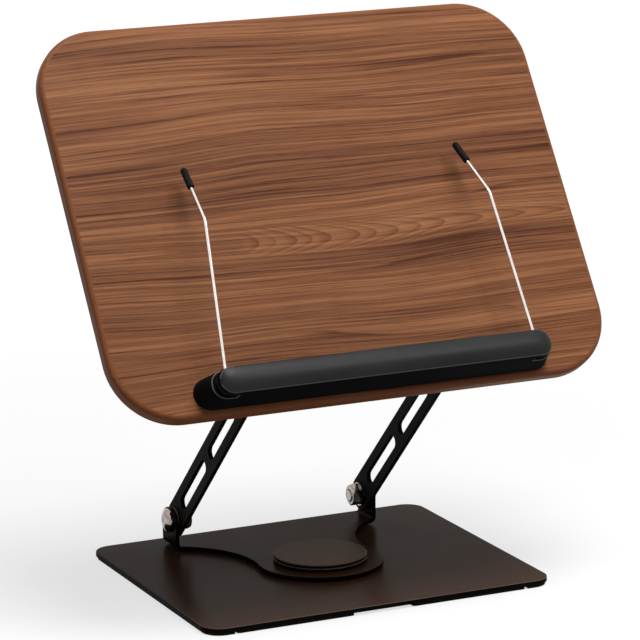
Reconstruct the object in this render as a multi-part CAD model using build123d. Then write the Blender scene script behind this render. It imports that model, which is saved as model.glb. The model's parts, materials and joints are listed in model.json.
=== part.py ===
from build123d import *
from math import cos, radians, sin
import os

# A desk book stand: a wooden board with a ledge and two page clips, carried by two slotted arms
# on a bracket that swivels over a steel base plate. Millimetres. X runs to the reader's right,
# Y to the back, Z up. Z = 0 is the table. The origin is the bottom centre of the stand's box in
# the pose that is modelled, so the base plate and the swivel axis stand a little behind it.

# Base plate and its rubber strips
base_y = 7.6                  # centre of the base plate
base_width = 240.0
base_depth = 200.0
base_thickness = 3.0
base_corner = 13.0
base_edge_round = 0.5
pad_thickness = 2.0
pad_inset = 1.2               # strips stay this far inside the plate's edge
side_pad_width = 17.0
end_pad_width = 14.0
pad_gap = 1.6                 # between a side strip and a front or back strip
end_pad_length = 80.0
pad_corner = 2.2

# Swivel: what turns on the base plate and what holds it down
swivel_y = base_y - 3.5       # the axis stands a little in front of the plate's centre
stud_radius = 6.0
stud_flange_radius = 11.5
stud_flange_thickness = 1.2
running_clearance = 0.05      # radial, shaft in bore
lower_washer_radius = 29.0
lower_washer_thickness = 0.8
upper_washer_radius = 13.0
upper_washer_thickness = 0.5
spring_thickness = 0.5
spring_height = 0.9           # overall height of the coned disc
pivot_screw_radius = 3.0
pivot_screw_head_radius = 5.5
pivot_screw_depth = 4.4       # thread length inside the stud

# Swivel bracket: one piece of bent sheet
sheet = 2.5
bend_radius = 2.0             # inside of each bend
bracket_half_width = 73.0     # to the outer faces of the ears
ear_width = 22.6
ear_drop = 2.5                # centre of an ear's round end below its pin
lobe_radius = 41.0            # round front of the web, about the swivel axis
flank_sweep = 60.0            # radius of the hollow sweep from the lobe to the ear

# Hub that covers the swivel
hub_radius = 30.5
hub_bore_radius = 22.0
hub_ring_height = 2.6
hub_groove = 0.5
hub_groove_depth = 0.9
hub_cover_thickness = 1.8
hub_cover_headroom = 0.4      # between the stud's flange and the inside of the cover
hub_edge_bevel = 0.6
hub_screw_radius = 1.5
hub_screw_head_radius = 2.9
hub_screw_circle = 26.0
hub_screw_count = 3
hub_screw_bite = 2.0

# Hinges: the lower pair joins bracket and arms, the upper pair joins arms and board
lower_pin_y = base_y + 76.0
lower_pin_z = 24.0
bolt_radius = 4.0
bolt_head_radius = 8.0
bolt_head_height = 4.6
bolt_rim = 1.6                # straight rim under the domed head
bolt_neck_corner = 0.8        # the square neck keeps the bolt from turning in its ear
bolt_end = 1.2                # thread that stands out of the nut
friction_washer_radius = 8.5
friction_washer_thickness = 1.2
nut_washer_radius = 8.0
nut_washer_thickness = 1.2
nut_flats = 13.0
nut_height = 5.0
nut_collar_radius = 5.8       # the collar that holds the locking ring
nut_collar_height = 1.5
nut_collar_bevel = 0.5

# Arms: two flat bars
arm_length = 159.0            # between the hinge pins
arm_width = 22.6
arm_thickness = 3.0
arm_edge_round = 0.4
arm_angle = 43.3              # above the table, leaning to the reader
slot_width = 9.0
slot_margin = 18.0            # from a pin to the nearer end of a slot
slot_web = 9.0                # between the two slots

# Board
board_width = 340.0
board_height = 264.0
board_thickness = 12.0
board_corner = 43.0
board_edge_round = 3.5
board_tilt = 56.0             # from the table to the board's back
pin_rise = 26.5               # upper pin above the board's lower edge, along the board
pin_standoff = 35.8           # upper pin behind the board's back face

# Board bracket: one piece of bent sheet on the board's back
plate_height = 75.0
plate_drop = 14.2             # plate below the upper pin
plate_lower_corner = 3.0
plate_upper_corner = 12.0
wood_screw_radius = 2.0
wood_screw_head_radius = 4.0
wood_screw_head_height = 2.4
wood_screw_bite = 8.5         # thread in the board
wood_screw_x = 55.0
wood_screw_rows = (6.0, 36.0, 66.0)   # above the lower edge of the plate

# Ledge: one black moulding with crowned front and an open slot at each end
ledge_length = 242.0          # at the board
ledge_height = 21.0           # at the board
ledge_rise = 3.7              # lower face above the board's lower edge
ledge_depth = 30.0            # to the crest of its front
ledge_crown = 2.0             # how far the crest stands over the front's long edges
ledge_end_draft = 10.5        # each end comes in by this much at the front
ledge_top_draft = 4.0         # the top comes down by this much at the front
ledge_front_round = 1.2
clip_slot_from = 18.5         # slot for the clip, out from the board's face
clip_slot_width = 4.5
clip_slot_reach = 20.0        # from the ledge's end at the board to the slot's inner wall
ledge_screw_x = 90.0
ledge_screw_rise = 10.5       # above the board's lower edge
ledge_screw_bite = 12.0

# Page clips: bent wire, each on a pin in the ledge's slot
clip_pin_inset = 12.4         # from the ledge's end at the board
clip_pin_rise = 11.2          # above the board's lower edge
clip_pin_radius = 1.5
clip_pin_bite = 4.5           # in the ledge, each side of the slot
wire_radius = 1.0
clip_lean = 4.6               # towards the middle of the board
clip_straight = 9.0           # wire in the plane of the slot
clip_knee_along = 105.0       # from the pin to the knee, along the board
clip_knee_out = 10.0          # the knee stands out from the slot's plane
clip_tip_along = 147.0
clip_tip_out = -10.0          # the tip comes back to the board
clip_bend = 9.0
eye_turn = 270.0              # degrees of wire round the pin
sleeve_radius = 2.2
sleeve_length = 18.0


# Levels and places worked out from the sizes above
base_bottom = pad_thickness
base_top = base_bottom + base_thickness
web_bottom = base_top + lower_washer_thickness
web_top = web_bottom + sheet
spring_bottom = web_top + upper_washer_thickness
flange_bottom = spring_bottom + spring_height
flange_top = flange_bottom + stud_flange_thickness
cover_bottom = flange_top + hub_cover_headroom
cover_top = max(cover_bottom, web_top + hub_ring_height + hub_groove) + hub_cover_thickness
bend_outer = bend_radius + sheet
bend_start = bracket_half_width - bend_outer
ear_round = ear_width / 2
ear_inner = bracket_half_width - sheet
arm_outer = ear_inner - friction_washer_thickness
arm_inner = arm_outer - arm_thickness
washer_inner = arm_inner - nut_washer_thickness
nut_inner = washer_inner - nut_height - nut_collar_height
tip_inner = nut_inner - bolt_end
clip_pin_x = ledge_length / 2 - clip_pin_inset

upper_pin_y = lower_pin_y - arm_length * cos(radians(arm_angle))
upper_pin_z = lower_pin_z + arm_length * sin(radians(arm_angle))

# Board frame: origin on the board's front face above the middle of its lower edge, X along the
# board, Y up the board and Z out of its front.
up_y, up_z = cos(radians(board_tilt)), sin(radians(board_tilt))
pin_to_face = pin_standoff + board_thickness
face_origin = (
    0,
    upper_pin_y - up_z * pin_to_face - up_y * pin_rise,
    upper_pin_z + up_y * pin_to_face - up_z * pin_rise,
)
board_frame = Plane(origin=face_origin, x_dir=(1, 0, 0), z_dir=(0, -up_z, up_y)).location
arm_frame = Plane(
    origin=(0, lower_pin_y, lower_pin_z),
    x_dir=(0, -cos(radians(arm_angle)), sin(radians(arm_angle))),
    z_dir=(1, 0, 0),
).location


def disc(radius, low, high, x=0.0, y=0.0):
    """An upright cylinder between two levels."""
    return Pos(x, y, low) * extrude(Circle(radius), high - low)


def ring(outer, inner, low, high, x=0.0, y=0.0):
    """A flat washer between two levels."""
    return Pos(x, y, low) * extrude(Circle(outer) - Circle(inner), high - low)


def countersunk(head_radius, shank_radius, length):
    """A countersunk screw along +Z, with the flat of its head at Z = 0 and a cross recess in it."""
    depth = head_radius - shank_radius
    profile = make_face(Polyline(
        (0, 0), (head_radius, 0), (shank_radius, depth), (shank_radius, length), (0, length), close=True
    ))
    recess = extrude(
        Rectangle(head_radius, head_radius * 0.24) + Rectangle(head_radius * 0.24, head_radius),
        depth * 0.5,
    )
    return revolve(Plane.XZ * profile, Axis.Z) - recess


def dome(radius, rim, crest):
    """An arc from the rim of a domed head to its crest on the axis."""
    rise = rim - crest
    curve = (radius ** 2 + rise ** 2) / (2 * rise)
    half = radius / 2
    between = crest + curve - (curve ** 2 - half ** 2) ** 0.5
    return ThreePointArc((radius, rim), (half, between), (0, crest))


def mirrored(part):
    """The same part on the other side of the stand's middle."""
    return mirror(part, Plane.YZ)


def pair(part):
    """A part and its mirror image, as two solids of one group."""
    return [part, mirrored(part)]


# Base

def plate_outline(inset=0.0):
    return RectangleRounded(base_width - 2 * inset, base_depth - 2 * inset, base_corner - inset)


def make_base_plate():
    plate = extrude(plate_outline(), base_thickness)
    plate = fillet(plate.faces().sort_by(Axis.Z)[-1].outer_wire().edges(), base_edge_round)
    plate = Pos(0, base_y, base_bottom) * plate
    sink = pivot_screw_head_radius - pivot_screw_radius
    cone = make_face(Polyline(
        (0, 0), (pivot_screw_head_radius, 0), (pivot_screw_radius, sink),
        (pivot_screw_radius, base_thickness), (0, base_thickness), close=True,
    ))
    return plate - Pos(0, swivel_y, base_bottom) * revolve(Plane.XZ * cone, Axis.Z)


def pad_strip(width, depth, x, y):
    """A rubber strip under the plate, cut to the plate's own outline."""
    strip = Pos(x, y) * RectangleRounded(width, depth, pad_corner)
    return Pos(0, base_y) * extrude(strip & plate_outline(pad_inset), pad_thickness)


def make_side_pad(side):
    width = side_pad_width + base_corner
    x = base_width / 2 - pad_inset - side_pad_width + width / 2
    return pad_strip(width, base_depth + base_corner, side * x, 0)


def make_end_pad(side, end):
    x = base_width / 2 - pad_inset - side_pad_width - pad_gap - end_pad_length / 2
    y = base_depth / 2 - pad_inset - end_pad_width / 2
    return pad_strip(end_pad_length, end_pad_width, side * x, end * y)


def make_pivot_stud():
    stud = disc(stud_radius, base_top, flange_bottom) + disc(stud_flange_radius, flange_bottom, flange_top)
    return Pos(0, swivel_y) * (stud - disc(pivot_screw_radius, base_top, base_top + pivot_screw_depth))


def make_pivot_screw():
    length = base_thickness + pivot_screw_depth
    return Pos(0, swivel_y, base_bottom) * countersunk(pivot_screw_head_radius, pivot_screw_radius, length)


def make_lower_glide_washer():
    return ring(lower_washer_radius, stud_radius, base_top, web_bottom, y=swivel_y)


def make_upper_glide_washer():
    return ring(upper_washer_radius, stud_radius, web_top, spring_bottom, y=swivel_y)


def make_disc_spring():
    cone = make_face(Polyline(
        (stud_radius + 0.3, spring_height), (stud_radius + 0.3, spring_height - spring_thickness),
        (stud_flange_radius, 0), (stud_flange_radius, spring_thickness), close=True,
    ))
    return Pos(0, swivel_y, spring_bottom) * revolve(Plane.XZ * cone, Axis.Z)


def square_neck():
    """Outline of the square neck under a bolt's head and of its hole in the ear."""
    return RectangleRounded(2 * bolt_radius, 2 * bolt_radius, bolt_neck_corner)


# Bent sheet: a web with two ears folded from it, used at both hinges

def folded_ears(rise):
    """Two ears on a strip of web, ear_width long in Y and centred on Y = 0. The web's outside is at
    Z = 0, and the pins' axis is along X at Z = rise. Each ear ends in a half round."""
    middle = rise - ear_drop
    high = middle + ear_round
    wall = 2 * (bracket_half_width - sheet)
    outer = Pos(0, high / 2) * Rectangle(2 * bracket_half_width, high)
    inner = Pos(0, sheet + high / 2) * Rectangle(wall, high)
    outer = fillet(outer.vertices().group_by(Axis.Y)[0], bend_outer)
    inner = fillet(inner.vertices().group_by(Axis.Y)[0], bend_radius)
    section = Plane.XZ * (outer - inner)
    channel = Pos(0, ear_width / 2) * extrude(section, ear_width)
    side = Pos(0, middle / 2) * Rectangle(ear_width, middle) + Pos(0, middle) * Circle(ear_round)
    side -= Pos(0, rise) * square_neck()
    return channel & extrude(Plane.YZ * side, bracket_half_width, both=True)


def make_swivel_bracket():
    ears = Pos(0, lower_pin_y, web_bottom) * folded_ears(lower_pin_z - web_bottom)
    back = lower_pin_y + ear_width / 2
    # seen from the swivel axis: the ear's front corner, the centre of the hollow sweep and the
    # point where the sweep touches the round lobe
    axis = Vector(0, swivel_y)
    corner = Vector(bend_start, lower_pin_y - ear_width / 2) - axis
    span = lobe_radius + flank_sweep
    along = (span ** 2 - flank_sweep ** 2 + corner.length ** 2) / (2 * corner.length)
    aside = (span ** 2 - along ** 2) ** 0.5
    toward = corner.normalized()
    centre = toward * along + Vector(toward.Y, -toward.X) * aside
    touch = centre * (lobe_radius / span)
    sweep_middle = ((corner - centre).normalized() + (touch - centre).normalized()).normalized()
    lobe_middle = (touch.normalized() + Vector(0, -1)).normalized()
    front = axis - Vector(0, lobe_radius)
    outline = Line((0, back), (bend_start, back))
    outline += Line((bend_start, back), axis + corner)
    outline += ThreePointArc(axis + corner, axis + centre + sweep_middle * flank_sweep, axis + touch)
    outline += ThreePointArc(axis + touch, axis + lobe_middle * lobe_radius, front)
    outline += Line(front, (0, back))
    half = make_face(outline)
    web = half + mirror(half, Plane.YZ)
    bracket = ears + Pos(0, 0, web_bottom) * extrude(web, sheet)
    bracket -= disc(stud_radius + running_clearance, web_bottom, web_top, y=swivel_y)
    for place in hub_screw_places():
        bracket -= place * hub_screw_cut()
    return bracket


# Hub

def hub_screw_places():
    step = 360 / hub_screw_count
    return [
        Pos(0, swivel_y, web_bottom) * Rot(0, 0, 90 + step * n) * Pos(hub_screw_circle, 0)
        for n in range(hub_screw_count)
    ]


def hub_screw_cut():
    """The countersunk hole for a hub screw, from the web's underside into the ring."""
    sink = hub_screw_head_radius - hub_screw_radius
    length = sheet + hub_screw_bite
    profile = make_face(Polyline(
        (0, 0), (hub_screw_head_radius, 0), (hub_screw_radius, sink), (hub_screw_radius, length),
        (0, length), close=True,
    ))
    return revolve(Plane.XZ * profile, Axis.Z)


def make_hub_ring():
    top = web_top + hub_ring_height
    body = ring(hub_radius, hub_bore_radius, web_top, top)
    top_circles = body.edges().filter_by(GeomType.CIRCLE).group_by(Axis.Z)[-1]
    body = chamfer(top_circles.sort_by(SortBy.RADIUS)[-1:], hub_edge_bevel)
    body = Pos(0, swivel_y) * body
    for place in hub_screw_places():
        body -= place * hub_screw_cut()
    return body


def make_hub_screws():
    screw = countersunk(hub_screw_head_radius, hub_screw_radius, sheet + hub_screw_bite)
    return [place * screw for place in hub_screw_places()]


def make_hub_cover():
    under = cover_top - hub_cover_thickness
    plate = disc(hub_radius, under, cover_top)
    plate = chamfer(plate.edges().group_by(Axis.Z)[-1], hub_edge_bevel)
    ring_top = web_top + hub_ring_height
    neck = ring(hub_radius - hub_groove_depth, hub_bore_radius - 1.5, ring_top, under)
    skirt = ring(hub_bore_radius, hub_bore_radius - 1.5, web_top, ring_top)
    return Pos(0, swivel_y) * (plate + neck + skirt)


# Hinge hardware, modelled on the right-hand side along X with the pin on the X axis

def along_x(part, start):
    """Turn a part from the Z axis to the X axis, pointing to the middle, from X = start."""
    return Pos(start, 0, 0) * Rot(0, -90, 0) * part


def make_bolt():
    rim = bolt_rim
    rise = bolt_head_height
    radius = bolt_head_radius
    length = bracket_half_width - tip_inner
    profile = make_face(
        Line((0, -rise), (0, length))
        + Line((0, length), (bolt_radius - 0.8, length))
        + Line((bolt_radius - 0.8, length), (bolt_radius, length - 0.8))
        + Line((bolt_radius, length - 0.8), (bolt_radius, 0))
        + Line((bolt_radius, 0), (radius, 0))
        + Line((radius, 0), (radius, -rim))
        + dome(radius, -rim, -rise)
    )
    bolt = revolve(Plane.XZ * profile, Axis.Z) + extrude(square_neck(), sheet)
    return along_x(bolt, bracket_half_width)


def make_friction_washer():
    return along_x(ring(friction_washer_radius, bolt_radius, 0, friction_washer_thickness), ear_inner)


def make_nut_washer():
    return along_x(ring(nut_washer_radius, bolt_radius, 0, nut_washer_thickness), arm_inner)


def make_lock_nut():
    corner = nut_flats / 2 / cos(radians(30))
    body = extrude(RegularPolygon(corner, 6), nut_height)
    # both ends of the hexagon are turned to a cone
    bevel = corner - nut_flats / 2
    turned = make_face(Polyline(
        (0, 0), (nut_flats / 2, 0), (corner, bevel),
        (corner, nut_height - bevel), (nut_flats / 2, nut_height), (0, nut_height), close=True,
    ))
    body = body & revolve(Plane.XZ * turned, Axis.Z)
    collar = disc(nut_collar_radius, nut_height, nut_height + nut_collar_height)
    collar = chamfer(collar.edges().group_by(Axis.Z)[-1], nut_collar_bevel)
    nut = body + collar - disc(bolt_radius, 0, nut_height + nut_collar_height)
    return along_x(nut, washer_inner)


lower_pin = Pos(0, lower_pin_y, lower_pin_z)
upper_pin = board_frame * Pos(0, pin_rise, -board_thickness - pin_standoff)


# Arms

def make_arm():
    """The right-hand arm, from the lower pin to the upper one."""
    bar = Pos(arm_length / 2, 0) * SlotCenterToCenter(arm_length, arm_width)
    slot_length = (arm_length - 2 * slot_margin - slot_web) / 2
    offset = (slot_length + slot_web) / 2
    for x in (arm_length / 2 - offset, arm_length / 2 + offset):
        bar -= Pos(x, 0) * SlotOverall(slot_length, slot_width)
    bore = Circle(bolt_radius + running_clearance)
    bar -= bore + Pos(arm_length, 0) * bore
    arm = extrude(bar, arm_thickness)
    outer_wires = [face.outer_wire() for face in arm.faces().filter_by(Axis.Z)]
    arm = chamfer([edge for wire in outer_wires for edge in wire.edges()], arm_edge_round)
    return arm_frame * Pos(0, 0, arm_inner) * arm


# Board and what is fixed to it, in the board's own frame

def wood_screw_places():
    low = pin_rise - plate_drop
    return [
        Pos(side * wood_screw_x, low + row, -board_thickness)
        for side in (-1, 1) for row in wood_screw_rows
    ]


def ledge_screw_places():
    return [Pos(x, ledge_screw_rise, -board_thickness) for x in (-ledge_screw_x, 0, ledge_screw_x)]


def wood_screw_hole():
    return disc(wood_screw_radius, 0, wood_screw_bite)


def ledge_screw():
    return countersunk(wood_screw_head_radius, wood_screw_radius, board_thickness + ledge_screw_bite)


def ledge_screw_hole():
    """The whole space that a ledge screw takes, without the recess in its head."""
    depth = wood_screw_head_radius - wood_screw_radius
    profile = make_face(Polyline(
        (0, 0), (wood_screw_head_radius, 0), (wood_screw_radius, depth),
        (wood_screw_radius, board_thickness + ledge_screw_bite),
        (0, board_thickness + ledge_screw_bite), close=True,
    ))
    return revolve(Plane.XZ * profile, Axis.Z)


def make_board():
    panel = Pos(0, board_height / 2, -board_thickness) * extrude(
        RectangleRounded(board_width, board_height, board_corner), board_thickness
    )
    rims = panel.faces().filter_by(Axis.Z)
    panel = fillet([edge for face in rims for edge in face.outer_wire().edges()], board_edge_round)
    for place in wood_screw_places():
        panel -= place * wood_screw_hole()
    for place in ledge_screw_places():
        panel -= place * ledge_screw_hole()
    return board_frame * panel


def make_board_bracket():
    ears = Rot(180, 0, 0) * folded_ears(pin_standoff)
    plate = Pos(0, plate_height / 2 - plate_drop) * Rectangle(2 * bend_start, plate_height)
    plate = fillet(plate.vertices().group_by(Axis.Y)[0], plate_lower_corner)
    plate = fillet(plate.vertices().group_by(Axis.Y)[-1], plate_upper_corner)
    plate = Pos(0, 0, -sheet) * extrude(plate, sheet)
    # the strip of web between the ears keeps its square ends
    bracket = Pos(0, pin_rise, -board_thickness) * (ears + plate)
    for place in wood_screw_places():
        bracket -= place * disc(wood_screw_radius, -sheet, 0)
    return board_frame * bracket


def make_bracket_screws():
    head = wood_screw_head_height
    radius = wood_screw_head_radius
    low = -sheet - head
    profile = make_face(
        Line((0, low), (0, wood_screw_bite))
        + Line((0, wood_screw_bite), (wood_screw_radius, wood_screw_bite - 3))
        + Line((wood_screw_radius, wood_screw_bite - 3), (wood_screw_radius, -sheet))
        + Line((wood_screw_radius, -sheet), (radius, -sheet))
        + Line((radius, -sheet), (radius, low + head * 0.8))
        + dome(radius, low + head * 0.8, low)
    )
    screw = revolve(Plane.XZ * profile, Axis.Z)
    cross = Rectangle(radius * 1.1, radius * 0.26) + Rectangle(radius * 0.26, radius * 1.1)
    screw -= Pos(0, 0, low) * extrude(cross, head * 0.55)
    return [board_frame * place * screw for place in wood_screw_places()]


def make_ledge_screws():
    return [board_frame * place * ledge_screw() for place in ledge_screw_places()]


def make_ledge():
    middle = ledge_rise + ledge_height / 2
    front_height = ledge_height - ledge_top_draft
    front_middle = ledge_rise + front_height / 2
    front_length = ledge_length - 2 * ledge_end_draft
    root = Pos(0, middle) * SlotOverall(ledge_length, ledge_height)
    front = Pos(0, front_middle, ledge_depth) * SlotOverall(front_length, front_height)
    body = loft([root.face(), front.face()])
    # the front is crowned from its lower to its upper edge
    radius = (front_height ** 2 / 4 + ledge_crown ** 2) / (2 * ledge_crown)
    crown = Pos(0, front_middle, ledge_depth - radius) * Rot(0, 90, 0) * Cylinder(radius, 2 * ledge_length)
    behind = ledge_depth - 2 * ledge_crown
    slab = Pos(0, middle, behind / 2) * Box(2 * ledge_length, 2 * ledge_height, behind)
    body = body & (crown + slab)
    front_edges = body.faces().sort_by(Axis.Z)[-1].outer_wire().edges()
    body = fillet(front_edges, ledge_front_round)
    slot_x = ledge_length / 2 - clip_slot_reach / 2 + 1
    slot_box = Box(clip_slot_reach + 2, 2 * ledge_height, clip_slot_width)
    pin_low = clip_slot_from - clip_pin_bite
    pin_high = clip_slot_from + clip_slot_width + clip_pin_bite
    for side in (-1, 1):
        body -= Pos(side * slot_x, middle, clip_slot_from + clip_slot_width / 2) * slot_box
        body -= disc(clip_pin_radius, pin_low, pin_high, side * clip_pin_x, clip_pin_rise)
    for place in ledge_screw_places():
        body -= place * ledge_screw_hole()
    return board_frame * body


def make_clip_pins():
    pin = disc(clip_pin_radius, clip_slot_from - clip_pin_bite,
               clip_slot_from + clip_slot_width + clip_pin_bite, clip_pin_x, clip_pin_rise)
    return pair(board_frame * pin)


# Page clips, modelled for the left-hand side with the pin's axis on Z

eye_radius = clip_pin_radius + running_clearance + wire_radius
clip_place = (
    board_frame
    * Pos(-clip_pin_x, clip_pin_rise, clip_slot_from + clip_slot_width / 2)
    * Rot(0, 0, -clip_lean)
)


def clip_path():
    """The clip's line in its own upright plane: along the board (first) and out from it (second)."""
    return Plane((eye_radius, 0, 0), x_dir=(0, 1, 0), z_dir=(1, 0, 0)) * FilletPolyline(
        (0, 0), (clip_straight, 0), (clip_knee_along, clip_knee_out), (clip_tip_along, clip_tip_out),
        radius=clip_bend,
    )


def make_clip_wire():
    start = Plane((eye_radius, 0, 0), x_dir=(1, 0, 0), z_dir=(0, 1, 0))
    leg = sweep(start * Circle(wire_radius), path=clip_path())
    section = Plane.XZ * Pos(eye_radius, 0) * Circle(wire_radius)
    eye = revolve(section, Axis.Z, -eye_turn)
    return clip_place * (leg + eye)


def make_clip_sleeve():
    """A rubber sleeve over the last of the wire, with a round end."""
    run = Vector(0, clip_tip_along - clip_knee_along, clip_tip_out - clip_knee_out).normalized()
    tip = Vector(eye_radius, clip_tip_along, clip_tip_out)
    start = tip - run * (sleeve_length - sleeve_radius)
    sleeve = extrude(Circle(sleeve_radius), sleeve_length - sleeve_radius) + Pos(
        0, 0, sleeve_length - sleeve_radius) * Sphere(sleeve_radius)
    sleeve = fillet(sleeve.edges().group_by(Axis.Z)[0], 0.5)
    sleeve -= extrude(Circle(wire_radius), sleeve_length - sleeve_radius)
    return clip_place * Plane(start, z_dir=run).location * sleeve


def build():
    """Every node's name with its solids."""
    clip_wire = make_clip_wire()
    clip_sleeve = make_clip_sleeve()
    arm = make_arm()
    nodes = {
        "base_plate": make_base_plate(),
        "pad_left": make_side_pad(-1),
        "pad_right": make_side_pad(1),
        "pivot_stud": make_pivot_stud(),
        "pivot_screw": make_pivot_screw(),
        "lower_glide_washer": make_lower_glide_washer(),
        "upper_glide_washer": make_upper_glide_washer(),
        "disc_spring": make_disc_spring(),
        "swivel_bracket": make_swivel_bracket(),
        "hub_ring": make_hub_ring(),
        "hub_screws": make_hub_screws(),
        "hub_cover": make_hub_cover(),
        "left_arm": mirrored(arm),
        "right_arm": arm,
        "board": make_board(),
        "board_bracket": make_board_bracket(),
        "bracket_screws": make_bracket_screws(),
        "ledge": make_ledge(),
        "ledge_screws": make_ledge_screws(),
        "clip_pins": make_clip_pins(),
        "left_clip_wire": clip_wire,
        "left_clip_sleeve": clip_sleeve,
        "right_clip_wire": mirrored(clip_wire),
        "right_clip_sleeve": mirrored(clip_sleeve),
    }
    for end, end_name in ((-1, "front"), (1, "back")):
        for side, side_name in ((-1, "left"), (1, "right")):
            nodes[f"pad_{end_name}_{side_name}"] = make_end_pad(side, end)
    hardware = {
        "hinge_bolts": make_bolt(),
        "friction_washers": make_friction_washer(),
        "nut_washers": make_nut_washer(),
        "lock_nuts": make_lock_nut(),
    }
    for level, pin in (("lower", lower_pin), ("upper", upper_pin)):
        for name, part in hardware.items():
            nodes[f"{level}_{name}"] = pair(pin * part)
    return nodes


def main():
    os.makedirs("parts", exist_ok=True)
    for name, part in build().items():
        solids = [solid for item in (part if isinstance(part, list) else [part]) for solid in item.solids()]
        shape = solids[0] if len(solids) == 1 else Compound(children=solids)
        export_step(shape, f"parts/{name}.step")


main()
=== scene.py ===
"""Finishes, small parts and a plain studio for a desk book stand, round its fixed frame."""

import json
import math

import bmesh
import bpy
from bpy.props import FloatProperty, FloatVectorProperty, PointerProperty
from bpy.types import Operator, Panel, PropertyGroup, Scene
from mathutils import Matrix, Vector


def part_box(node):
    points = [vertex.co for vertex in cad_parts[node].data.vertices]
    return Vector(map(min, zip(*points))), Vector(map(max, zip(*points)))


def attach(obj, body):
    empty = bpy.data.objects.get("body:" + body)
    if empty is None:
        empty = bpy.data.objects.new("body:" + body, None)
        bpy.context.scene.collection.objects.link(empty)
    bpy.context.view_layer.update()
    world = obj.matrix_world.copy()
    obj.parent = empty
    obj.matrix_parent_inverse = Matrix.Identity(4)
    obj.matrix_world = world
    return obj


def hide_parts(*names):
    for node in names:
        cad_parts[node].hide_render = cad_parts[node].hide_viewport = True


bl_info = {
    "name": "Book Stand",
    "version": (1, 0, 0),
    "blender": (4, 5, 0),
    "location": "3D View > Sidebar > Book Stand",
    "description": "Finishes, small parts and a studio for a desk book stand",
    "category": "Object",
}

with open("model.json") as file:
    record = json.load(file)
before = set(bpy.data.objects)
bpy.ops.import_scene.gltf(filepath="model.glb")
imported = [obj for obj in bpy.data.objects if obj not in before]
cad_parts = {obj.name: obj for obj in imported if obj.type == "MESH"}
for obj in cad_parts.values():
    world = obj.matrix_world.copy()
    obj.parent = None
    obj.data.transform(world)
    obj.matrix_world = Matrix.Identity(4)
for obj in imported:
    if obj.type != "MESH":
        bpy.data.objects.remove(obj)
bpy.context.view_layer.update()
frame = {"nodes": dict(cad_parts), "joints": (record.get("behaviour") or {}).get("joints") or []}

MM = 0.001


def joint(name):
    """A joint of the record: its point and its axis."""
    found = next(j for j in frame["joints"] if j["name"] == name)
    return Vector(found["pos_m"]), Vector(found["axis"]).normalized()


# The board's own axes: across, up along the board and out of its face. Each clip turns about an axis
# that stands square on the face, so the clips' pins give the tilt and a point to measure from.
LEFT_PIN, BOARD_OUT = joint("left_clip_swing")
RIGHT_PIN = joint("right_clip_swing")[0]
BOARD_UP = BOARD_OUT.cross(Vector((1, 0, 0)))
BOARD_TILT = math.atan2(BOARD_UP.z, BOARD_UP.y)
BOARD_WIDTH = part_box("board")[1].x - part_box("board")[0].x
PIN_OUT = 20.75 * MM       # middle of a clip's pin, out from the board's face
PIN_BELOW = 120.8 * MM     # and below the middle of the board
HALF_HEIGHT = 132.0 * MM
BOARD_MIDDLE = (LEFT_PIN + RIGHT_PIN) / 2 - BOARD_OUT * PIN_OUT + BOARD_UP * PIN_BELOW


def srgb(red, green, blue):
    """A display colour, 0 to 255 a channel, as the linear colour that shaders take."""
    shares = (c / 255 for c in (red, green, blue))
    return tuple(s / 12.92 if s <= 0.04045 else ((s + 0.055) / 1.055) ** 2.4 for s in shares)


def colour_of(name, description, default):
    """A setting that is a linear colour."""
    return FloatVectorProperty(
        name=name, description=description, default=default, subtype="COLOR", size=3, min=0.0, max=1.0
    )


def size_of(name, description, millimetres):
    """A length setting, given in millimetres and kept in metres."""
    return FloatProperty(
        name=name, description=description, default=millimetres * MM, unit="LENGTH", min=0.0
    )


def level_of(name, description, millimetres):
    """A length setting that may be below zero."""
    return FloatProperty(name=name, description=description, default=millimetres * MM, unit="LENGTH")


def angle_of(name, description, degrees):
    """An angle setting, given in degrees and kept in radians."""
    return FloatProperty(
        name=name, description=description, default=math.radians(degrees), subtype="ANGLE"
    )


def value_of(name, description, default):
    """A setting that is a plain number."""
    return FloatProperty(name=name, description=description, default=default)


class BookStandWood(PropertyGroup):
    """The board's veneer: its colours, and the sizes and places of its figure."""

    light: colour_of("Early wood", "Lightest colour of the veneer", srgb(170, 116, 78))
    middle: colour_of("Middle tone", "Colour of most of the veneer", srgb(129, 81, 51))
    dark: colour_of("Late wood", "Colour of the darkest growth lines", srgb(74, 36, 18))
    edge: colour_of("Edge", "Colour of the rounded edge, which has no veneer", srgb(134, 82, 52))
    line_gap: size_of("Line gap", "Mean distance between two dark growth lines", 6.5)
    streak_gap: size_of("Streak gap", "Mean distance between two fine streaks", 1.8)
    arch_gap: size_of("Arch gap", "Thickness of one growth ring in the arched figure", 0.7)
    arch_height: level_of("Arch height", "Height of the arches over the board's middle", -20.0)
    arch_start: level_of("Arch start", "Left end of the arches from the board's middle", -70.0)
    arch_reach: size_of("Arch reach", "Half of the arched figure's height", 9.5)
    upper_band: level_of("Upper band", "Height of the upper dark band over the middle", 22.0)
    upper_band_width: size_of("Upper band width", "Breadth of the dark band over the arches", 31.0)
    lower_band: level_of("Lower band", "Height of the lower dark band over the middle", -39.0)
    lower_band_width: size_of("Lower band width", "Breadth of the dark band under the arches", 17.0)
    board_corner: size_of("Corner radius", "Radius of the board's corners", 43.0)
    edge_round: size_of("Edge round", "How far the rounded edge reaches onto the face", 3.5)


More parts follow.
